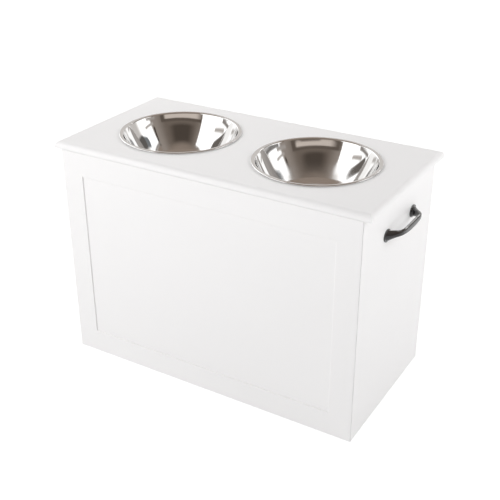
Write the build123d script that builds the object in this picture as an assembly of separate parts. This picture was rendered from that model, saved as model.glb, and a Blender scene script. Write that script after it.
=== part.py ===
from build123d import *
import math
import os

# Elevated dog feeder with a storage box under a hinged lid that holds two steel bowls.
# Millimetres. +Z up, front face towards -Y. Origin: centre of the footprint, on the floor.

# ---------------------------------------------------------------- driving dimensions
BODY_W = 572.0          # width of the box over its side panels
Y_FRONT = -148.0        # front face of the box
Y_BACK = 144.0          # back face of the box
BODY_H = 401.7          # top edge of the box
BOARD = 12.0            # side, back and frame board thickness

LID_Z = 402.0           # underside of the lid
LID_T = 13.0            # lid thickness
LID_W = 598.0           # lid over its rounded nose, side to side
LID_D = 300.0           # lid over its rounded nose, front to back
NOSE_TOP = (8.0, 9.5)   # upper quarter ellipse of the nose: in, down
NOSE_LOW = (2.5, 3.5)   # lower quarter ellipse of the nose: in, up

FRAME_W = 42.5          # stile width
RAIL_LOW = 44.0         # bottom rail height
RAIL_TOP = 42.7         # top rail height
RECESS = 1.9            # how far the middle panel sits behind the frame
PANEL_T = 5.0           # middle panel thickness
GROOVE = 8.0            # groove depth in stiles and rails

BOWL_X = 135.0          # bowl centres, left and right of the middle
BOWL_Y = -2.0
HOLE_R = 102.8          # round opening in the lid
MOUTH_R = 101.2         # inside of the bowl at its mouth
BOWL_DEPTH = 69.0       # rim to inside bottom
SHEET = 0.9             # bowl sheet thickness
BEAD_R = 1.45           # radius of the rolled edge
CORNER_R = 22.0         # inside curve from the flat bottom to the wall
LIP_R = 2.4             # tight curve from the wall to the crowned rim
CROWN_R = 7.8           # the rim is a shallow crown, rising from the mouth and falling to the rolled edge
CROWN = (24.0, 10.0)    # crown slope at the mouth and at the rolled edge, degrees from level
BOWL_LEAN = (52.0, 71.0)  # wall slope at its foot and at its top, degrees from level

BATTEN = 18.0           # square section of battens and cleats
FLOOR_Z = 22.0          # underside of the floor panel
FLOOR_T = 9.0

HANDLE_Y = -1.5         # handle centre along the side panel
HANDLE_Z = 340.3
HANDLE_PITCH = 106.0    # between the two fixing screws
FOOT_R = (12.2, 10.8)   # half widths of a foot along and across the panel
HANDLE_RISE = 2.9       # grip above the middle of its feet

HINGE_X = 180.0         # hinge centres, left and right of the middle
HINGE_L = 50.0
PIN_Y = 146.4           # hinge axis, just behind the back panel
PIN_Z = 401.85
KNUCKLE_R = 2.2
PIN_R = 1.0
LEAF_T = 1.1
LEAF_BACK = 133.4       # inner edge of the leaves

HX = BODY_W / 2
TOP = LID_Z + LID_T
XI = HX - BOARD         # inner face of a side panel
YFI = Y_FRONT + BOARD   # inner face of the front frame
YBI = Y_BACK - BOARD    # inner face of the back panel
STILE_X = HX - FRAME_W  # inner edge of a stile

os.makedirs("parts", exist_ok=True)


def box(x0, x1, y0, y1, z0, z1):
    return Pos((x0 + x1) / 2, (y0 + y1) / 2, (z0 + z1) / 2) * Box(x1 - x0, y1 - y0, z1 - z0)


def prism(points, lo, hi, axis):
    """Closed polygon swept straight along one axis. Points are (x, y), (y, z) or (x, z)."""
    if axis == "Z":
        pts = [(p[0], p[1], lo) for p in points]
        way = (0, 0, 1)
    elif axis == "X":
        pts = [(lo, p[0], p[1]) for p in points]
        way = (1, 0, 0)
    else:
        pts = [(p[0], lo, p[1]) for p in points]
        way = (0, 1, 0)
    return extrude(Face(Wire(Polyline(*pts, close=True).edges())), amount=hi - lo, dir=way)


def cyl(r, length, base, way):
    """Cylinder from a base point along a direction."""
    return extrude(Plane(origin=base, z_dir=way) * Circle(r), amount=length)


def cone(r0, r1, length, base, way):
    return Plane(origin=base, z_dir=way) * Pos(0, 0, length / 2) * Cone(r0, r1, length)


def single(shape):
    found = shape.solids() if not isinstance(shape, Solid) else [shape]
    return max(found, key=lambda s: s.volume)


def mirror_x(shape):
    return shape.mirror(Plane.YZ)


def save(name, shape):
    shape.label = name
    export_step(shape, f"parts/{name}.step")


def save_group(name, shapes):
    group = Compound(children=[single(s) for s in shapes])
    group.label = name
    export_step(group, f"parts/{name}.step")


# ---------------------------------------------------------------- fasteners
def countersunk(length, r, head_r, head_t, base, way, recess=True):
    """Countersunk wood screw: base is the middle of the head's flat face."""
    s = cone(head_r, r, head_t, base, way) + cyl(r, length - 3.0 - head_t, Vector(*base) + Vector(*way) * head_t, way)
    s += cone(r, r * 0.25, 3.0, Vector(*base) + Vector(*way) * (length - 3.0), way)
    if recess:
        pl = Plane(origin=base, z_dir=way)
        d = head_t * 0.55
        for a in (0, 90):
            s -= pl * Pos(0, 0, d / 2 - 0.01) * Rot(0, 0, a) * Box(head_r * 1.15, head_r * 0.26, d)
    return s


def screw_void(length, r, head_r, head_t, base, way):
    s = cone(head_r, r, head_t, base, way) + cyl(r, length - 3.0 - head_t, Vector(*base) + Vector(*way) * head_t, way)
    return s + cone(r, r * 0.25, 3.0, Vector(*base) + Vector(*way) * (length - 3.0), way)


WOOD = (25.0, 1.75, 3.5, 2.2)       # length, radius, head radius, head height
FLOOR_SCREW = (20.0, 1.75, 3.5, 2.2)
LID_SCREW = (10.0, 1.2, 2.3, 1.1)
EDGE_SCREW = (16.0, 1.2, 2.3, 1.1)

# where every screw starts and the way it points
batten_spots, cleat_spots, floor_spots = [], [], []
for sx in (-1, 1):
    for yb, yf, dy in ((YFI + BATTEN, YFI + BATTEN / 2, -1), (YBI - BATTEN, YBI - BATTEN / 2, 1)):
        for z in (90.0, 215.0, 340.0):
            batten_spots.append(((sx * (XI - BATTEN), yf, z), (sx, 0, 0)))
        for z in (60.0, 185.0, 310.0):
            batten_spots.append(((sx * (XI - BATTEN / 2), yb, z), (0, dy, 0)))
for x in (-200.0, 0.0, 200.0):
    cleat_spots.append(((x, YFI + BATTEN, 13.0), (0, -1, 0)))
    cleat_spots.append(((x, YBI - BATTEN, 13.0), (0, 1, 0)))
for sx in (-1, 1):
    for y in (-70.0, 66.0):
        cleat_spots.append(((sx * (XI - BATTEN), y, 13.0), (sx, 0, 0)))
for x in (-235.0, -100.0, 100.0, 235.0):
    for y in (YFI + BATTEN / 2, YBI - BATTEN / 2):
        floor_spots.append(((x, y, FLOOR_Z + FLOOR_T), (0, 0, -1)))
for sx in (-1, 1):
    floor_spots.append(((sx * (XI - BATTEN / 2), (YFI + YBI) / 2, FLOOR_Z + FLOOR_T), (0, 0, -1)))

wood_voids = [screw_void(*WOOD, b, w) for b, w in batten_spots + cleat_spots]
floor_voids = [screw_void(*FLOOR_SCREW, b, w) for b, w in floor_spots]


def touches(shape, void):
    a, b = shape.bounding_box(), void.bounding_box()
    return all(
        lo1 < hi2 and lo2 < hi1
        for lo1, hi1, lo2, hi2 in (
            (a.min.X, a.max.X, b.min.X, b.max.X),
            (a.min.Y, a.max.Y, b.min.Y, b.max.Y),
            (a.min.Z, a.max.Z, b.min.Z, b.max.Z),
        )
    )


def drill(shape, voids):
    for v in voids:
        if touches(shape, v):
            shape = shape - v
    return shape


# ---------------------------------------------------------------- lid
def nose_wire(half, axis, at):
    """Lid section: flat top and underside, full rounded nose at both ends."""
    a, b = NOSE_TOP
    c, d = NOSE_LOW

    def p(u, z):
        return (u, at, z) if axis == "Y" else (at, u, z)

    up = [(half - a + a * math.sin(t), TOP - b + b * math.cos(t)) for t in [math.pi / 2 * i / 6 for i in range(7)]]
    lo = [(half - c + c * math.cos(t), LID_Z + d - d * math.sin(t)) for t in [math.pi / 2 * i / 4 for i in range(5)]]
    out = Vector(*(p(1.0, 0.0))) - Vector(*(p(0.0, 0.0)))
    down = Vector(0, 0, -1)
    right_up = Spline(*[p(u, z) for u, z in up], tangents=[out, down])
    right_lo = Spline(*[p(u, z) for u, z in lo], tangents=[down, -out])
    left_lo = Spline(*[p(-u, z) for u, z in reversed(lo)], tangents=[-out, -down])
    left_up = Spline(*[p(-u, z) for u, z in reversed(up)], tangents=[-down, out])
    under = Line(p(lo[-1][0], LID_Z), p(-lo[-1][0], LID_Z))
    over = Line(p(-up[0][0], TOP), p(up[0][0], TOP))
    return Wire([right_up.edge(), right_lo.edge(), under.edge(), left_lo.edge(), left_up.edge(), over.edge()])


def make_lid():
    across = extrude(Face(nose_wire(LID_W / 2, "Y", -LID_D)), amount=2 * LID_D, dir=(0, 1, 0))
    along = extrude(Face(nose_wire(LID_D / 2, "X", -LID_W)), amount=2 * LID_W, dir=(1, 0, 0))
    lid = across & along
    for sx in (-1, 1):
        lid -= cyl(HOLE_R, LID_T + 2, (sx * BOWL_X, BOWL_Y, LID_Z - 1), (0, 0, 1))
        # mortise for the hinge leaf and a relief for the knuckles
        x0, x1 = sx * HINGE_X - HINGE_L / 2, sx * HINGE_X + HINGE_L / 2
        lid -= box(x0, x1, LEAF_BACK, 144.2, LID_Z - 1, PIN_Z + 0.1 + LEAF_T)
        lid -= box(x0 - 0.5, x1 + 0.5, 143.8, 152.0, LID_Z - 1, PIN_Z + KNUCKLE_R + 0.5)
        for dx in (-17.0, 0.0, 17.0):
            lid -= screw_void(*LID_SCREW, (sx * HINGE_X + dx, 138.4, PIN_Z + 0.1), (0, 0, 1))
    return single(lid)


lid_panel = make_lid()
save("lid_panel", lid_panel)


# ---------------------------------------------------------------- bowls
def make_bowl(sx):
    """Spun steel bowl from tangent arcs: flat bottom, corner, long wall arc, mouth curve, crowned rim, rolled edge."""
    a, b = math.radians(BOWL_LEAN[0]), math.radians(BOWL_LEAN[1])
    g, e = math.radians(CROWN[0]), math.radians(CROWN[1])
    s = SHEET
    zt = TOP + BEAD_R * (1 + math.cos(e)) + CROWN_R * (1 - math.cos(e))     # top of the rim, edge resting on the lid
    zb = zt - BOWL_DEPTH                                                    # inside bottom
    mouth = CROWN_R * (1 - math.cos(g)) + LIP_R * (math.cos(g) - math.cos(b))
    rise = BOWL_DEPTH - CORNER_R * (1 - math.cos(a)) - mouth
    wall_r = rise / (math.cos(a) - math.cos(b))
    flat_r = MOUTH_R - CORNER_R * math.sin(a) - wall_r * (math.sin(b) - math.sin(a))
    c1 = (flat_r, zb + CORNER_R)
    p1 = (c1[0] + CORNER_R * math.sin(a), c1[1] - CORNER_R * math.cos(a))
    c2 = (p1[0] - wall_r * math.sin(a), p1[1] + wall_r * math.cos(a))
    p2 = (c2[0] + wall_r * math.sin(b), c2[1] - wall_r * math.cos(b))
    c3 = (p2[0] + LIP_R * math.sin(b), p2[1] - LIP_R * math.cos(b))
    p3 = (c3[0] - LIP_R * math.sin(g), c3[1] + LIP_R * math.cos(g))
    c4 = (p3[0] + CROWN_R * math.sin(g), zt - CROWN_R)
    k = (c4[0] + (CROWN_R - BEAD_R) * math.sin(e), c4[1] + (CROWN_R - BEAD_R) * math.cos(e))    # middle of the rolled edge

    def on(c, r, t, sign=1):
        """Point on an arc about c whose tangent leans t from level."""
        return (c[0] + sign * r * math.sin(t), 0, c[1] - sign * r * math.cos(t))

    def arc(c, r, t0, t1, sign=1):
        return ThreePointArc(on(c, r, t0, sign), on(c, r, (t0 + t1) / 2, sign), on(c, r, t1, sign))

    def bead(t):
        """Point on the rolled edge, t round from its join with the top of the crown."""
        return (k[0] + BEAD_R * math.sin(e + t), 0, k[1] + BEAD_R * math.cos(e + t))

    # the rolled edge closes against the underside of the crown
    under, apart = CROWN_R - s, CROWN_R - BEAD_R
    along = (under**2 - BEAD_R**2 + apart**2) / (2 * apart)
    aside = math.sqrt(under**2 - along**2)
    close = math.atan2(aside, along) - e
    turn = 2 * math.pi - math.atan2(aside, along - apart)
    edges = [
        Line((0, 0, zb), (flat_r, 0, zb)),
        arc(c1, CORNER_R, 0, a),
        arc(c2, wall_r, a, b),
        arc(c3, LIP_R, b, g, -1),
        arc(c4, CROWN_R, g, -e, -1),
        ThreePointArc(bead(0), bead(turn / 4), bead(turn / 2)),
        ThreePointArc(bead(turn / 2), bead(turn * 3 / 4), bead(turn)),
        arc(c4, under, close, g, -1),
        arc(c3, LIP_R - s, g, b, -1),
        arc(c2, wall_r + s, b, a),
        arc(c1, CORNER_R + s, a, 0),
        Line((flat_r, 0, zb - s), (0, 0, zb - s)),
        Line((0, 0, zb - s), (0, 0, zb)),
    ]
    bowl = revolve(Face(Wire([w.edge() for w in edges])), Axis.Z, 360)
    return single(Pos(sx * BOWL_X, BOWL_Y, 0) * bowl)


save("left_bowl", make_bowl(-1))
save("right_bowl", make_bowl(1))

# ---------------------------------------------------------------- front frame and middle panel
gy0 = Y_FRONT + RECESS          # groove and panel, front side
gy1 = gy0 + PANEL_T
EASE = 0.8                      # eased arris round the recess
# stile section: V cut at the outer corner, 45 degree mitre to the side panel
stile_pts = [
    (STILE_X, Y_FRONT), (HX - 0.8, Y_FRONT), (HX - 1.0, Y_FRONT + 1.0), (XI, YFI), (STILE_X, YFI),
    (STILE_X, gy1), (STILE_X + GROOVE, gy1), (STILE_X + GROOVE, gy0), (STILE_X, gy0),
]
right_stile = prism(stile_pts, 0, BODY_H, "Z")
ease = prism(
    [(STILE_X - 0.1, Y_FRONT - 0.1), (STILE_X + EASE, Y_FRONT - 0.1), (STILE_X + EASE, Y_FRONT), (STILE_X, Y_FRONT + EASE), (STILE_X - 0.1, Y_FRONT + EASE)],
    RAIL_LOW, BODY_H - RAIL_TOP, "Z",
)
right_stile -= ease
left_stile = mirror_x(right_stile)
right_stile = drill(right_stile, wood_voids)
left_stile = drill(left_stile, wood_voids)
save("front_right_stile", single(right_stile))
save("front_left_stile", single(left_stile))


def rail(z_out, z_in, sign):
    """Rail between the stiles, with a groove and eased arris on its inner edge and a tongue at each end."""
    g = z_in - sign * GROOVE
    pts = [
        (Y_FRONT, z_out), (YFI, z_out), (YFI, z_in), (gy1, z_in), (gy1, g), (gy0, g), (gy0, z_in),
        (Y_FRONT + EASE, z_in), (Y_FRONT, z_in - sign * EASE),
    ]
    r = prism(pts, -STILE_X, STILE_X, "X")
    lo, hi = sorted((z_out, g))
    for sx in (-1, 1):
        x0, x1 = sorted((sx * STILE_X, sx * (STILE_X + GROOVE - 0.3)))
        r += box(x0, x1, gy0, gy1, lo, hi)
    return single(drill(r, wood_voids))


save("front_bottom_rail", rail(0.0, RAIL_LOW, 1))
save("front_top_rail", rail(BODY_H, BODY_H - RAIL_TOP, -1))
front_panel = box(-STILE_X - GROOVE + 0.5, STILE_X + GROOVE - 0.5, gy0, gy1, RAIL_LOW - GROOVE + 0.5, BODY_H - RAIL_TOP + GROOVE - 0.5)
save("front_center_panel", single(front_panel))

# ---------------------------------------------------------------- side, back and floor panels
side_pts = [(HX, Y_FRONT + 0.8), (HX - 1.0, Y_FRONT + 1.0), (XI, YFI), (XI, YBI), (HX, YBI)]
right_side = prism(side_pts, 0, BODY_H, "Z")
left_side = mirror_x(right_side)
handle_ys = (HANDLE_Y - HANDLE_PITCH / 2, HANDLE_Y + HANDLE_PITCH / 2)
for y in handle_ys:
    right_side -= cyl(2.2, BOARD + 4, (XI - 2, y, HANDLE_Z), (1, 0, 0))
    left_side -= cyl(2.2, BOARD + 4, (-XI + 2, y, HANDLE_Z), (-1, 0, 0))
save("right_side_panel", single(drill(right_side, wood_voids)))
save("left_side_panel", single(drill(left_side, wood_voids)))

back = box(-HX, HX, YBI, Y_BACK, 0, BODY_H)
for edge_pts in ([(HX - 0.7, Y_BACK), (HX, Y_BACK - 0.7), (HX + 1, Y_BACK + 1)], [(-HX + 0.7, Y_BACK), (-HX, Y_BACK - 0.7), (-HX - 1, Y_BACK + 1)]):
    back -= prism(edge_pts, -1, BODY_H + 1, "Z")
for sx in (-1, 1):
    x0, x1 = sx * HINGE_X - HINGE_L / 2, sx * HINGE_X + HINGE_L / 2
    back -= box(x0, x1, LEAF_BACK, Y_BACK + 1, PIN_Z - 0.1 - LEAF_T, BODY_H + 1)
    for dx in (-17.0, 0.0, 17.0):
        back -= screw_void(*EDGE_SCREW, (sx * HINGE_X + dx, 138.4, PIN_Z - 0.1), (0, 0, -1))
save("back_panel", single(drill(back, wood_voids)))

floor = box(-XI + 0.5, XI - 0.5, YFI + 0.5, YBI - 0.5, FLOOR_Z, FLOOR_Z + FLOOR_T)
save("floor_panel", single(drill(floor, floor_voids)))

# ---------------------------------------------------------------- cleats under the floor, battens in the corners
all_voids = wood_voids + floor_voids
save("front_floor_cleat", single(drill(box(-XI, XI, YFI, YFI + BATTEN, FLOOR_Z - BATTEN, FLOOR_Z), all_voids)))
save("back_floor_cleat", single(drill(box(-XI, XI, YBI - BATTEN, YBI, FLOOR_Z - BATTEN, FLOOR_Z), all_voids)))
save("right_floor_cleat", single(drill(box(XI - BATTEN, XI, YFI + BATTEN, YBI - BATTEN, FLOOR_Z - BATTEN, FLOOR_Z), all_voids)))
save("left_floor_cleat", single(drill(box(-XI, -XI + BATTEN, YFI + BATTEN, YBI - BATTEN, FLOOR_Z - BATTEN, FLOOR_Z), all_voids)))

BATTEN_TOP = 391.0
for name, sx, y0 in (
    ("front_right_corner_batten", 1, YFI), ("front_left_corner_batten", -1, YFI),
    ("back_right_corner_batten", 1, YBI - BATTEN), ("back_left_corner_batten", -1, YBI - BATTEN),
):
    x0, x1 = sorted((sx * XI, sx * (XI - BATTEN)))
    b = box(x0, x1, y0, y0 + BATTEN, FLOOR_Z + FLOOR_T, BATTEN_TOP)
    save(name, single(drill(b, wood_voids)))

save_group("batten_screws", [countersunk(*WOOD, b, w) for b, w in batten_spots])
save_group("cleat_screws", [countersunk(*WOOD, b, w) for b, w in cleat_spots])
save_group("floor_panel_screws", [countersunk(*FLOOR_SCREW, b, w) for b, w in floor_spots])

# ---------------------------------------------------------------- hinges
# Five knuckles: 1, 3 and 5 on the body leaf, 2 and 4 on the lid leaf.
KN = HINGE_L / 5


def leaf(cx, lid_side):
    z0 = PIN_Z + 0.1 if lid_side else PIN_Z - 0.1 - LEAF_T
    x0, x1 = cx - HINGE_L / 2, cx + HINGE_L / 2
    plate = box(x0, x1, LEAF_BACK, 143.9, z0, z0 + LEAF_T)
    own = (1, 3) if lid_side else (0, 2, 4)
    shape = plate
    for k in own:
        a, b = x0 + k * KN + 0.15, x0 + (k + 1) * KN - 0.15
        if k == 0:
            a = x0
        if k == 4:
            b = x1
        shape += box(a, b, 143.0, PIN_Y - 0.4, z0, z0 + LEAF_T)
        shape += cyl(KNUCKLE_R, b - a, (a, PIN_Y, PIN_Z), (1, 0, 0))
    bore = PIN_R + 0.06 if lid_side else PIN_R
    shape -= cyl(bore, HINGE_L + 2, (x0 - 1, PIN_Y, PIN_Z), (1, 0, 0))
    way = (0, 0, 1) if lid_side else (0, 0, -1)
    head = z0 if lid_side else z0 + LEAF_T
    for dx in (-17.0, 0.0, 17.0):
        shape -= cone(2.3, 1.2, 1.1, (cx + dx, 138.4, head), way)
        shape -= cyl(1.2, 3, (cx + dx, 138.4, head), way)
    return single(shape)


def pin(cx):
    p = cyl(PIN_R, HINGE_L + 0.6, (cx - HINGE_L / 2 - 0.3, PIN_Y, PIN_Z), (1, 0, 0))
    return single(p)


for side, sx in (("left", -1), ("right", 1)):
    save(f"{side}_hinge_lid_leaf", leaf(sx * HINGE_X, True))
    save(f"{side}_hinge_body_leaf", leaf(sx * HINGE_X, False))
    save(f"{side}_hinge_pin", pin(sx * HINGE_X))

lid_screws, edge_screws = [], []
for sx in (-1, 1):
    for dx in (-17.0, 0.0, 17.0):
        lid_screws.append(countersunk(*LID_SCREW, (sx * HINGE_X + dx, 138.4, PIN_Z + 0.1), (0, 0, 1)))
        edge_screws.append(countersunk(*EDGE_SCREW, (sx * HINGE_X + dx, 138.4, PIN_Z - 0.1), (0, 0, -1)))
save_group("hinge_lid_screws", lid_screws)
save_group("hinge_body_screws", edge_screws)

# ---------------------------------------------------------------- handles
# Cast pull with two flared oval feet, necks that lean inwards and a grip that bellies outwards.
# Stations from a foot to the middle of the grip: way along the path, out from the panel, inwards from
# the screw, rise, half widths across and up, roundness (2 is an ellipse, more is squarer), lean in degrees,
# how much taller the neck is on its inner side, lift of the section, how far the grip's lower edge bellies
# out, and how steeply its narrow top slopes outwards.
STATIONS = [
    (0.0, 1.2, 0.2, 0.00, 10.8, 9.8, 2.0, 0.0, 0.00, 0.0, 0.0, 0.00),
    (1.5, 2.6, 0.6, 0.03, 9.2, 9.0, 2.0, 2.0, 0.05, 0.0, 0.0, 0.00),
    (3.2, 4.1, 1.3, 0.09, 7.8, 8.3, 2.0, 6.0, 0.12, 0.0, 0.0, 0.00),
    (5.5, 6.0, 2.6, 0.18, 6.5, 7.4, 2.1, 14.0, 0.21, 0.0, 0.0, 0.00),
    (8.5, 8.4, 4.6, 0.33, 5.5, 6.5, 2.3, 24.0, 0.29, 0.0, 0.0, 0.00),
    (12.0, 11.1, 7.0, 0.50, 4.7, 5.7, 2.6, 34.0, 0.29, 0.0, 0.0, 0.00),
    (16.0, 14.1, 9.7, 0.70, 4.1, 4.8, 3.0, 45.0, 0.18, 0.0, 0.0, 0.02),
    (19.5, 16.8, 12.4, 0.85, 3.5, 4.2, 3.4, 56.0, 0.07, 0.1, 0.0, 0.12),
    (22.5, 18.7, 15.0, 0.95, 2.9, 3.95, 3.8, 68.0, 0.02, 0.3, 0.0, 0.28),
    (26.0, 20.1, 18.3, 1.00, 2.55, 3.85, 4.2, 80.0, 0.00, 0.5, 0.1, 0.42),
    (31.0, 20.9, 23.2, 1.00, 2.4, 3.95, 4.4, 87.0, 0.00, 0.45, 0.4, 0.466),
    (40.0, 21.0, 32.2, 1.00, 2.4, 4.35, 4.4, 90.0, 0.00, 0.0, 0.85, 0.466),
    (7.8 + HANDLE_PITCH / 2, 21.0, HANDLE_PITCH / 2, 1.00, 2.4, 4.6, 4.4, 90.0, 0.00, -0.2, 1.1, 0.466),
]


def smooth(table, w):
    """Monotone cubic through the table's columns at way w, level at the far end."""
    n = len(table)
    out = []
    for c in range(1, len(table[0])):
        h = [table[i + 1][0] - table[i][0] for i in range(n - 1)]
        d = [(table[i + 1][c] - table[i][c]) / h[i] for i in range(n - 1)]
        m = [d[0]] + [0.0] * (n - 2) + [d[-1] if c == 2 else 0.0]
        for i in range(1, n - 1):
            if d[i - 1] * d[i] > 0:
                a, b = 2 * h[i] + h[i - 1], h[i] + 2 * h[i - 1]
                m[i] = (a + b) / (a / d[i - 1] + b / d[i])
        i = max(j for j in range(n - 1) if table[j][0] <= w + 1e-9)
        t = (w - table[i][0]) / h[i]
        out.append(
            table[i][c] * (1 + 2 * t) * (1 - t) ** 2 + h[i] * m[i] * t * (1 - t) ** 2
            + table[i + 1][c] * t * t * (3 - 2 * t) + h[i] * m[i + 1] * t * t * (t - 1)
        )
    return out


def ring(w):
    """Closed smooth ring across the path of the front half."""
    d, s, rise, ra, rb, n, lean, flare, shift, belly, slope = smooth(STATIONS, w)
    lean = math.radians(lean)
    y = HANDLE_Y - HANDLE_PITCH / 2 + s
    z = HANDLE_Z + rise * HANDLE_RISE
    pts = []
    k = 32
    for i in range(k):
        q = 2 * math.pi * i / k
        ca, cb = math.cos(q), math.sin(q)
        u = ra * math.copysign(abs(ca) ** (2 / n), ca)
        v = rb * math.copysign(abs(cb) ** (2 / n), cb) * (1 + flare * u / ra)
        u, v = u + belly * (v - rb) / (2 * rb), v + slope * u * max(0.0, v / rb) + shift
        pts.append((HX + d - math.sin(lean) * u, y + math.cos(lean) * u, z + v))
    return Wire([Spline(*pts, periodic=True).edge()])


def make_handle():
    end = STATIONS[-1][0]
    count = 24
    ways = [end * i / count for i in range(count + 1)]
    rings = [ring(w) for w in ways]
    half = Solid.make_loft(rings[:9], ruled=False)
    for first in (8, 16):
        half += Solid.make_loft(rings[first:first + 9], ruled=False)
    whole = half + half.mirror(Plane(origin=(0, HANDLE_Y, 0), x_dir=(1, 0, 0), z_dir=(0, 1, 0)))
    for y in handle_ys:
        disc = extrude(Plane(origin=(HX, y, HANDLE_Z), x_dir=(0, 1, 0), z_dir=(1, 0, 0)) * Ellipse(FOOT_R[0], FOOT_R[1]), amount=1.9)
        whole += chamfer(disc.edges().sort_by(Axis.X)[-1], 0.5)
    for y in handle_ys:
        whole -= cyl(2.0, 7.0, (HX, y, HANDLE_Z), (1, 0, 0))
    return single(whole)


right_handle = make_handle()
save("right_handle", right_handle)
save("left_handle", single(mirror_x(right_handle)))

screws, washers = [], []
for sx in (-1, 1):
    for y in handle_ys:
        w = (sx, 0, 0)
        wash = cyl(5.5, 0.8, (sx * (XI - 0.8), y, HANDLE_Z), w) - cyl(2.2, 3, (sx * (XI - 2), y, HANDLE_Z), w)
        washers.append(wash)
        head = cyl(3.9, 2.4, (sx * (XI - 3.2), y, HANDLE_Z), w)
        head = fillet(head.edges().filter_by(GeomType.CIRCLE).sort_by(Axis.X)[0 if sx > 0 else -1], 1.1)
        pl = Plane(origin=(sx * (XI - 3.2), y, HANDLE_Z), z_dir=w)
        for a in (0, 90):
            head -= pl * Pos(0, 0, 0.65) * Rot(0, 0, a) * Box(4.2, 0.9, 1.4)
        shank = cyl(2.0, 19.5, (sx * (XI - 0.8), y, HANDLE_Z), w)
        screws.append(head + shank)
save_group("handle_screws", screws)
save_group("handle_washers", washers)
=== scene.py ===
import bpy, math
from mathutils import Matrix, Vector

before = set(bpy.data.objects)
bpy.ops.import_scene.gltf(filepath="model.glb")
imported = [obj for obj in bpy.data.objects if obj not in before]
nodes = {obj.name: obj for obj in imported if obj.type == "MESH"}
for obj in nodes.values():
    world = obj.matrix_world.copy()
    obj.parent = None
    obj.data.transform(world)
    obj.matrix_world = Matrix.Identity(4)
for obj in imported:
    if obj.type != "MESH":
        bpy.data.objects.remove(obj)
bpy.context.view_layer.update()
scene = bpy.context.scene
scene.view_settings.view_transform = "Standard"
scene.view_settings.look = "None"
scene.view_settings.exposure = 0.0
scene.view_settings.gamma = 1.0

# ------------------------------------------------------------------ camera
AZ, EL, ROLL = math.radians(30.92811), math.radians(27.44004), math.radians(-0.12168)
back = Vector((math.sin(AZ) * math.cos(EL), -math.cos(AZ) * math.cos(EL), math.sin(EL)))
right = Vector((math.cos(AZ), math.sin(AZ), 0.0))
up = back.cross(right)
c, s = math.cos(ROLL), math.sin(ROLL)
cam_x, cam_y = c * right + s * up, -s * right + c * up
cam_data = bpy.data.cameras.new("camera")
cam_data.sensor_width = 36.0
cam_data.lens = 882.3354 / 500.0 * 36.0
cam_data.clip_start = 0.05
cam_data.clip_end = 80.0
cam = bpy.data.objects.new("camera", cam_data)
scene.collection.objects.link(cam)
m = Matrix((cam_x, cam_y, back)).transposed().to_4x4()
m.translation = Vector((0.73302, -1.21310, 0.95078))
cam.matrix_world = m
scene.camera = cam


# ------------------------------------------------------------------ node helpers
class Tree:
    """Small helper that adds nodes and joins them."""

    def __init__(self, tree):
        self.t = tree
        tree.nodes.clear()

    def add(self, kind, inputs=None, **props):
        n = self.t.nodes.new(kind)
        for k, v in props.items():
            setattr(n, k, v)
        for k, v in (inputs or {}).items():
            sock = n.inputs[k]
            if isinstance(v, bpy.types.NodeSocket):
                self.t.links.new(v, sock)
            else:
                sock.default_value = v
        return n

    def math(self, op, a, b=None, c=None, clamp=False):
        ins = {0: a}
        if b is not None:
            ins[1] = b
        if c is not None:
            ins[2] = c
        return self.add("ShaderNodeMath", ins, operation=op, use_clamp=clamp).outputs[0]

    def rise(self, x, lo, hi):
        """0 below lo, 1 above hi, smooth between."""
        n = self.add("ShaderNodeMapRange", {"Value": x, "From Min": lo, "From Max": hi, "To Min": 0.0, "To Max": 1.0},
                     interpolation_type="SMOOTHSTEP", clamp=True)
        return n.outputs[0]

    def band(self, x, lo, hi, soft):
        a = self.rise(x, lo - soft, lo + soft)
        b = self.rise(x, hi - soft, hi + soft)
        return self.math("SUBTRACT", a, b, clamp=True)

    def both(self, *masks):
        out = masks[0]
        for k in masks[1:]:
            out = self.math("MULTIPLY", out, k)
        return out

    def mix(self, fac, a, b):
        n = self.add("ShaderNodeMix", data_type="RGBA", blend_type="MIX")
        for key, v in ((0, fac), (6, a), (7, b)):
            if isinstance(v, bpy.types.NodeSocket):
                self.t.links.new(v, n.inputs[key])
            else:
                n.inputs[key].default_value = v
        return n.outputs[2]

    def lerp(self, x, lo, hi, a, b):
        n = self.add("ShaderNodeMapRange", {"Value": x, "From Min": lo, "From Max": hi, "To Min": a, "To Max": b},
                     interpolation_type="SMOOTHSTEP", clamp=True)
        return n.outputs[0]

    def noise(self, coords, scale, detail=2.0, rough=0.5, dim="3D"):
        return self.add("ShaderNodeTexNoise", {"Vector": coords, "Scale": scale, "Detail": detail, "Roughness": rough},
                        noise_dimensions=dim).outputs["Fac"]

    def stretch(self, coords, scale):
        return self.add("ShaderNodeMapping", {"Vector": coords, "Scale": scale}).outputs[0]

    def coords(self):
        return self.add("ShaderNodeTexCoord").outputs["Object"]

    def link(self, a, b):
        self.t.links.new(a, b)


def grey(v, warm=0.0):
    """Linear colour from an 8-bit display value, warmer with warm > 0."""
    def lin(x):
        x = max(0.0, x) / 255.0
        return x / 12.92 if x <= 0.04045 else ((x + 0.055) / 1.055) ** 2.4
    return (lin(v + warm), lin(v), lin(v - warm * 0.8), 1.0)


# ------------------------------------------------------------------ materials
def finish_tree(t, shader, normal=None):
    out = t.add("ShaderNodeOutputMaterial")
    t.link(shader.outputs[0], out.inputs["Surface"])


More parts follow.
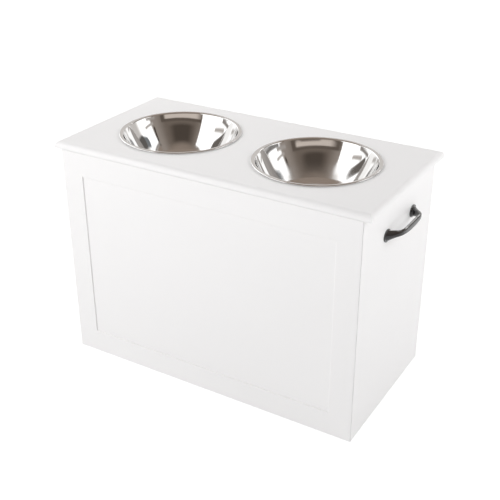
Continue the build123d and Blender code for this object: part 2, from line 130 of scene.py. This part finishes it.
def white_paint(name, seed):
    """Sprayed satin paint on fibreboard: faint orange peel, slow gloss and tone drift."""
    mat = bpy.data.materials.new(name)
    mat.use_nodes = True
    t = Tree(mat.node_tree)
    co = t.add("ShaderNodeMapping", {"Vector": t.coords(), "Location": (seed * 3.1, seed * 1.7, seed * 2.3)}).outputs[0]
    slow = t.noise(co, 3.0, 3.0)
    fine = t.noise(co, 160.0, 2.0)
    tone = t.mix(slow, (0.910, 0.899, 0.897, 1), (0.930, 0.919, 0.918, 1))
    tone = t.mix(t.lerp(fine, 0.62, 0.80, 0.0, 0.25), tone, (0.890, 0.880, 0.876, 1))
    rough = t.lerp(t.noise(co, 26.0, 3.0), 0.3, 0.7, 0.36, 0.46)
    peel = t.noise(co, 520.0, 2.0, 0.55)
    swell = t.noise(co, 70.0, 1.0)
    h = t.math("ADD", t.math("MULTIPLY", peel, 0.35), t.math("MULTIPLY", swell, 0.65))
    bump = t.add("ShaderNodeBump", {"Strength": 0.10, "Distance": 0.0006, "Height": h})
    sh = t.add("ShaderNodeBsdfPrincipled", {"Base Color": tone, "Roughness": rough, "Normal": bump.outputs[0]})
    sh.inputs["IOR"].default_value = 1.46
    sh.inputs["Specular IOR Level"].default_value = 0.42
    finish_tree(t, sh)
    return mat


def pine(name, axis, seed):
    """Planed softwood with grain along one axis."""
    mat = bpy.data.materials.new(name)
    mat.use_nodes = True
    t = Tree(mat.node_tree)
    scale = [38.0, 38.0, 38.0]
    scale["XYZ".index(axis)] = 1.6
    co = t.add("ShaderNodeMapping", {"Vector": t.coords(), "Location": (seed, seed * 1.3, seed * 0.7), "Scale": tuple(scale)}).outputs[0]
    warp = t.noise(co, 0.9, 3.0, 0.6)
    rings = t.math("FRACT", t.math("MULTIPLY", warp, 7.0))
    band = t.math("POWER", rings, 1.8)
    fibre = t.noise(co, 9.0, 3.0, 0.6)
    col = t.mix(band, (0.66, 0.47, 0.27, 1), (0.50, 0.31, 0.15, 1))
    col = t.mix(t.lerp(fibre, 0.35, 0.7, 0.0, 0.35), col, (0.74, 0.56, 0.36, 1))
    rough = t.lerp(band, 0.0, 1.0, 0.62, 0.5)
    bump = t.add("ShaderNodeBump", {"Strength": 0.25, "Distance": 0.0004, "Height": fibre})
    sh = t.add("ShaderNodeBsdfPrincipled", {"Base Color": col, "Roughness": rough, "Normal": bump.outputs[0]})
    finish_tree(t, sh)
    return mat


def polished_steel(name, cx, cy, wall_rough, floor_rough):
    """Spun and polished stainless steel: mirror wall, softer towards the bottom, fine rings about the bowl's axis."""
    mat = bpy.data.materials.new(name)
    mat.use_nodes = True
    t = Tree(mat.node_tree)
    p = t.add("ShaderNodeSeparateXYZ", {0: t.coords()})
    dx = t.math("SUBTRACT", p.outputs[0], cx)
    dy = t.math("SUBTRACT", p.outputs[1], cy)
    r = t.math("SQRT", t.math("ADD", t.math("MULTIPLY", dx, dx), t.math("MULTIPLY", dy, dy)))
    z = p.outputs[2]
    # fine turning marks: noise that only depends on the radius and height
    line = t.add("ShaderNodeCombineXYZ", {0: r, 1: z, 2: 0.0}).outputs[0]
    marks = t.noise(line, 900.0, 2.0, 0.6)
    broad = t.noise(line, 140.0, 2.0, 0.5)
    smear = t.noise(t.coords(), 14.0, 2.0)
    deep = t.rise(z, 0.396, 0.364)
    base = t.lerp(deep, 0.0, 1.0, wall_rough, floor_rough)
    across = t.math("ABSOLUTE", t.math("ADD", t.math("MULTIPLY", dx, 0.857), t.math("MULTIPLY", dy, 0.515)))
    base = t.math("MULTIPLY", base, t.lerp(t.math("DIVIDE", across, r), 0.66, 0.90, 1.0, 0.4))   # buffed brighter on two sides
    rough = t.math("ADD", base, t.math("MULTIPLY", t.math("SUBTRACT", smear, 0.5), 0.03))
    rough = t.math("ADD", rough, t.math("MULTIPLY", t.math("SUBTRACT", marks, 0.5), 0.03), clamp=True)
    col = t.mix(broad, (0.702, 0.697, 0.692, 1), (0.742, 0.738, 0.733, 1))
    h = t.math("ADD", t.math("MULTIPLY", marks, 0.25), t.math("MULTIPLY", broad, 0.75))
    bump = t.add("ShaderNodeBump", {"Strength": 0.05, "Distance": 0.0003, "Height": h})
    sh = t.add("ShaderNodeBsdfPrincipled", {"Base Color": col, "Metallic": 1.0, "Roughness": rough, "Normal": bump.outputs[0]})
    finish_tree(t, sh)
    return mat


def plated(name, tint, rough0, rough1, scale):
    """Plated hardware steel: cloudy gloss and fine scratches."""
    mat = bpy.data.materials.new(name)
    mat.use_nodes = True
    t = Tree(mat.node_tree)
    co = t.coords()
    cloud = t.noise(co, scale, 3.0, 0.6)
    scratch = t.noise(t.stretch(co, (1.0, 14.0, 1.0)), scale * 5.0, 2.0, 0.6)
    dark = tuple(v * 0.86 for v in tint)
    col = t.mix(cloud, (*dark, 1), (*tint, 1))
    rough = t.lerp(t.math("ADD", t.math("MULTIPLY", cloud, 0.6), t.math("MULTIPLY", scratch, 0.4)), 0.3, 0.7, rough0, rough1)
    bump = t.add("ShaderNodeBump", {"Strength": 0.12, "Distance": 0.0002, "Height": scratch})
    sh = t.add("ShaderNodeBsdfPrincipled", {"Base Color": col, "Metallic": 1.0, "Roughness": rough, "Normal": bump.outputs[0]})
    finish_tree(t, sh)
    return mat


def black_lacquer(name):
    """Semi-gloss black coating on a cast pull."""
    mat = bpy.data.materials.new(name)
    mat.use_nodes = True
    t = Tree(mat.node_tree)
    co = t.coords()
    cloud = t.noise(co, 60.0, 2.0)
    grain = t.noise(co, 1400.0, 2.0, 0.6)
    col = t.mix(cloud, (0.0125, 0.0120, 0.0125, 1), (0.0175, 0.0170, 0.0175, 1))
    rough = t.lerp(t.math("ADD", t.math("MULTIPLY", cloud, 0.5), t.math("MULTIPLY", grain, 0.5)), 0.3, 0.7, 0.15, 0.22)
    bump = t.add("ShaderNodeBump", {"Strength": 0.08, "Distance": 0.0002, "Height": grain})
    sh = t.add("ShaderNodeBsdfPrincipled", {"Base Color": col, "Roughness": rough, "Normal": bump.outputs[0]})
    sh.inputs["Specular IOR Level"].default_value = 0.9
    sh.inputs["Coat Weight"].default_value = 0.45
    sh.inputs["Coat Roughness"].default_value = 0.06
    sh.inputs["Coat IOR"].default_value = 1.6
    finish_tree(t, sh)
    return mat


def wear(names, mat):
    for n in names:
        o = nodes[n]
        o.data.materials.clear()
        o.data.materials.append(mat)


wear(["lid_panel"], white_paint("paint_lid", 1))
wear(["front_left_stile", "front_right_stile"], white_paint("paint_stiles", 2))
wear(["front_bottom_rail", "front_top_rail"], white_paint("paint_rails", 3))
wear(["front_center_panel"], white_paint("paint_center", 4))
wear(["left_side_panel", "right_side_panel"], white_paint("paint_sides", 5))
wear(["back_panel", "floor_panel"], white_paint("paint_back", 6))
wear(["front_floor_cleat", "back_floor_cleat"], pine("pine_long", "X", 1.0))
wear(["left_floor_cleat", "right_floor_cleat"], pine("pine_short", "Y", 4.0))
wear(["front_left_corner_batten", "front_right_corner_batten", "back_left_corner_batten", "back_right_corner_batten"], pine("pine_upright", "Z", 7.0))
wear(["left_bowl"], polished_steel("steel_left", -0.135, -0.002, 0.035, 0.07))
wear(["right_bowl"], polished_steel("steel_right", 0.135, -0.002, 0.055, 0.20))
wear(["batten_screws", "cleat_screws", "floor_panel_screws", "hinge_lid_screws", "hinge_body_screws", "handle_screws", "handle_washers"],
     plated("zinc", (0.74, 0.75, 0.76), 0.24, 0.38, 300.0))
wear(["left_hinge_lid_leaf", "right_hinge_lid_leaf", "left_hinge_body_leaf", "right_hinge_body_leaf"],
     plated("nickel", (0.73, 0.70, 0.65), 0.20, 0.34, 160.0))
wear(["left_hinge_pin", "right_hinge_pin"], plated("pin_steel", (0.62, 0.62, 0.62), 0.22, 0.32, 400.0))
wear(["left_handle", "right_handle"], black_lacquer("black_lacquer"))

# ------------------------------------------------------------------ studio: what shiny surfaces see
world = bpy.data.worlds.new("studio")
scene.world = world
world.use_nodes = True
t = Tree(world.node_tree)
d = t.add("ShaderNodeSeparateXYZ", {0: t.add("ShaderNodeTexCoord").outputs["Generated"]})
az = t.math("MULTIPLY", t.math("ARCTAN2", d.outputs[0], t.math("MULTIPLY", d.outputs[1], -1.0)), 180 / math.pi)
el = t.math("MULTIPLY", t.math("ARCSINE", d.outputs[2]), 180 / math.pi)
STEEL = 0.72


def seen(v, warm=4.0):
    """Colour that looks like the display value v after one reflection in the steel."""
    g = grey(v, warm)
    return (g[0] / STEEL, g[1] / STEEL, g[2] / STEEL, 1.0)


def streak(a0, e0, a1, e1, half, soft):
    """Mask of a soft line between two directions given as azimuth and elevation."""
    da, de = a1 - a0, e1 - e0
    n = da * da + de * de
    pa, pe = t.math("SUBTRACT", az, a0), t.math("SUBTRACT", el, e0)
    f = t.math("ADD", t.math("MULTIPLY", pa, da / n), t.math("MULTIPLY", pe, de / n), clamp=True)
    qa = t.math("SUBTRACT", pa, t.math("MULTIPLY", f, da))
    qe = t.math("SUBTRACT", pe, t.math("MULTIPLY", f, de))
    far = t.math("SQRT", t.math("ADD", t.math("MULTIPLY", qa, qa), t.math("MULTIPLY", qe, qe)))
    return t.rise(far, half + soft, half - soft)


sky = (1.9, 1.9, 1.9, 1.0)                                               # white backdrop all round
behind = t.math("ADD", t.rise(az, 128, 141), t.rise(az, -117, -133), clamp=True)
sky = t.mix(behind, sky, seen(188, 4))                                  # the far end of the studio
sky = t.mix(t.rise(el, 1.5, -2.5), sky, seen(226, 1))                   # pale floor below the horizon
off = t.math("ABSOLUTE", t.math("SUBTRACT", az, 33.0))                  # degrees from the middle of the dark room
ceiling_edge = t.lerp(az, -40.0, 100.0, 42.0, 36.0)
sky = t.mix(t.rise(t.math("SUBTRACT", el, ceiling_edge), -1.5, 4.0), sky, seen(124, 12))
inside = t.both(t.band(az, -38, 103, 3.0), t.rise(el, -2.0, 2.0))       # the room behind the camera, lighter towards its sides
sky = t.mix(inside, sky, seen(130, 9))
sky = t.mix(t.both(inside, t.rise(az, -26, 6), t.rise(az, 95, 67)), sky, seen(94, 10))
sky = t.mix(t.both(t.rise(off, 38, 14), t.band(el, 29.5, 48.0, 2.5)), sky, seen(63, 8))
bow = t.math("ADD", el, t.math("MULTIPLY", t.math("MULTIPLY", t.math("SUBTRACT", az, 30.0), t.math("SUBTRACT", az, 30.0)), 0.0012))
sky = t.mix(t.both(t.rise(az, -30, -13), t.rise(az, 80, 76), t.band(bow, 14.0, 26.5, 0.8)), sky, seen(79, 9))
sky = t.mix(t.both(t.rise(az, -30, -13), t.rise(az, 77, 73), t.band(bow, 10.0, 18.4, 0.8)), sky, seen(114, 10))
strip = t.both(t.rise(az, -16, 4), t.rise(az, 72, 66), t.band(bow, 19.4, 23.6, 0.7))
sky = t.mix(strip, sky, seen(180, 11))
sky = t.mix(t.rise(el, 45.0, 56.0), sky, seen(123, 13))
for a0, e0, a1, e1, half, soft, v, warm in (
        (-64, 28, -82, 12, 4.6, 1.2, 94, 5), (-50, 20, -72, 12, 1.8, 1.4, 168, 6), (-85, 5, -62, 9, 1.3, 1.0, 128, 5),
        (128, 26, 140, 20, 4.4, 1.3, 116, -3), (138, 21, 152, 17, 4.6, 1.2, 88, 3),
        (101, 39, 98, 25, 1.9, 1.2, 58, 6), (100, 38, 124, 36.5, 1.2, 1.0, 128, 6),
        (98, 20, 118, 18, 1.1, 0.9, 160, 6), (92, 16, 110, 13, 1.6, 1.2, 150, 6), (106, 11, 142, 4, 1.3, 1.0, 112, 3)):
    sky = t.mix(streak(a0, e0, a1, e1, half, soft), sky, seen(v, warm))
path = t.add("ShaderNodeLightPath")
again = t.math("MULTIPLY", t.rise(path.outputs["Glossy Depth"], 1.2, 1.8), 0.2)             # steel that mirrors steel is paler
sky = t.mix(again, sky, (1.9, 1.9, 1.9, 1.0))
lit = t.add("ShaderNodeBackground", {"Color": (1, 1, 1, 1), "Strength": 0.345})
gloss = t.add("ShaderNodeBackground", {"Color": sky, "Strength": 1.0})
seen_direct = t.add("ShaderNodeBackground", {"Color": (1, 1, 1, 1), "Strength": 0.99})
inner = t.add("ShaderNodeMixShader", {0: path.outputs["Is Glossy Ray"], 1: lit.outputs[0], 2: gloss.outputs[0]})
outer = t.add("ShaderNodeMixShader", {0: path.outputs["Is Camera Ray"], 1: inner.outputs[0], 2: seen_direct.outputs[0]})
t.link(outer.outputs[0], t.add("ShaderNodeOutputWorld").inputs[0])


def card(name, corners, strength):
    """Upright glowing softbox, only for reflections."""
    me = bpy.data.meshes.new(name)
    me.from_pydata(corners, [], [(0, 1, 2, 3)])
    o = bpy.data.objects.new(name, me)
    scene.collection.objects.link(o)
    mat = bpy.data.materials.new(name)
    mat.use_nodes = True
    k = Tree(mat.node_tree)
    em = k.add("ShaderNodeEmission", {"Color": (1.0, 0.995, 0.99, 1), "Strength": strength})
    finish_tree(k, em)
    me.materials.append(mat)
    o.visible_camera = False
    o.visible_diffuse = False
    o.visible_shadow = False
    o.visible_transmission = False
    return o


card("softbox_left", [(-0.445, -1.244, 0.42), (-0.90, -0.75, 0.42), (-0.90, -0.75, 1.36), (-0.445, -1.244, 1.77)], 1.7)
card("softbox_back", [(0.485, 1.60, 1.03), (0.63, 1.60, 1.03), (0.63, 1.60, 1.50), (0.485, 1.60, 1.50)], 4.6)


# ------------------------------------------------------------------ lamps for the painted faces
def lamp(name, at, to, size, power):
    data = bpy.data.lights.new(name, "AREA")
    data.shape = "RECTANGLE"
    data.size, data.size_y = size
    data.energy = power
    o = bpy.data.objects.new(name, data)
    scene.collection.objects.link(o)
    o.location = at
    o.rotation_euler = (Vector(to) - Vector(at)).to_track_quat("-Z", "Y").to_euler()
    o.visible_glossy = False
    return o


lamp("lamp_front_left", (-1.5, -2.0, 1.7), (-0.1, 0, 0.25), (1.6, 1.4), 39.5)
lamp("lamp_back_right", (2.1, 1.2, 1.6), (0.2, 0, 0.25), (1.4, 1.2), 31.0)
lamp("lamp_back_left", (-0.8, 1.0, 1.0), (-0.15, 0.05, 0.41), (0.7, 0.7), 5.0)
lamp("lamp_top", (-0.3, -0.9, 2.6), (0, 0, 0.4), (1.8, 1.8), 2.8)
lamp("lamp_right_low", (2.6, -0.9, 0.7), (0, 0, 0.2), (1.6, 1.0), 2.3)

# ------------------------------------------------------------------ floor
R = 30.0
me = bpy.data.meshes.new("floor")
me.from_pydata([(-R, -R, 0), (R, -R, 0), (R, R, 0), (-R, R, 0)], [], [(0, 1, 2, 3)])
floor = bpy.data.objects.new("floor", me)
scene.collection.objects.link(floor)
mat = bpy.data.materials.new("floor")
mat.use_nodes = True
k = Tree(mat.node_tree)
pale = k.mix(k.noise(k.coords(), 2.0, 2.0), (0.50, 0.50, 0.50, 1), (0.51, 0.51, 0.51, 1))
dif = k.add("ShaderNodeBsdfDiffuse", {"Color": pale})
at = k.add("ShaderNodeSeparateXYZ", {0: k.coords()})
away = k.math("SQRT", k.math("ADD", k.math("MULTIPLY", at.outputs[0], at.outputs[0]), k.math("MULTIPLY", at.outputs[1], at.outputs[1])))
glow = k.lerp(away, 0.5, 3.5, 0.45, 0.8)
over = k.math("MULTIPLY", k.add("ShaderNodeLightPath").outputs["Is Camera Ray"], 0.24)      # the sweep is exposed to white
em = k.add("ShaderNodeEmission", {"Color": (1, 1, 1, 1), "Strength": k.math("ADD", glow, over)})
both = k.add("ShaderNodeAddShader", {0: dif.outputs[0], 1: em.outputs[0]})
dim = k.add("ShaderNodeEmission", {"Color": (1, 1, 1, 1), "Strength": 0.16})                   # painted reflection: a dark floor patch seen only by glossy rays, darker towards the front and right, standing in for the dark room in front
dark = k.math("MULTIPLY", k.lerp(at.outputs[1], -0.25, 0.30, 0.5, 0.0), k.rise(at.outputs[0], -0.30, 0.10))
gloss = k.math("MULTIPLY", k.add("ShaderNodeLightPath").outputs["Is Glossy Ray"], dark)
finish_tree(k, k.add("ShaderNodeMixShader", {0: gloss, 1: both.outputs[0], 2: dim.outputs[0]}))
me.materials.append(mat)
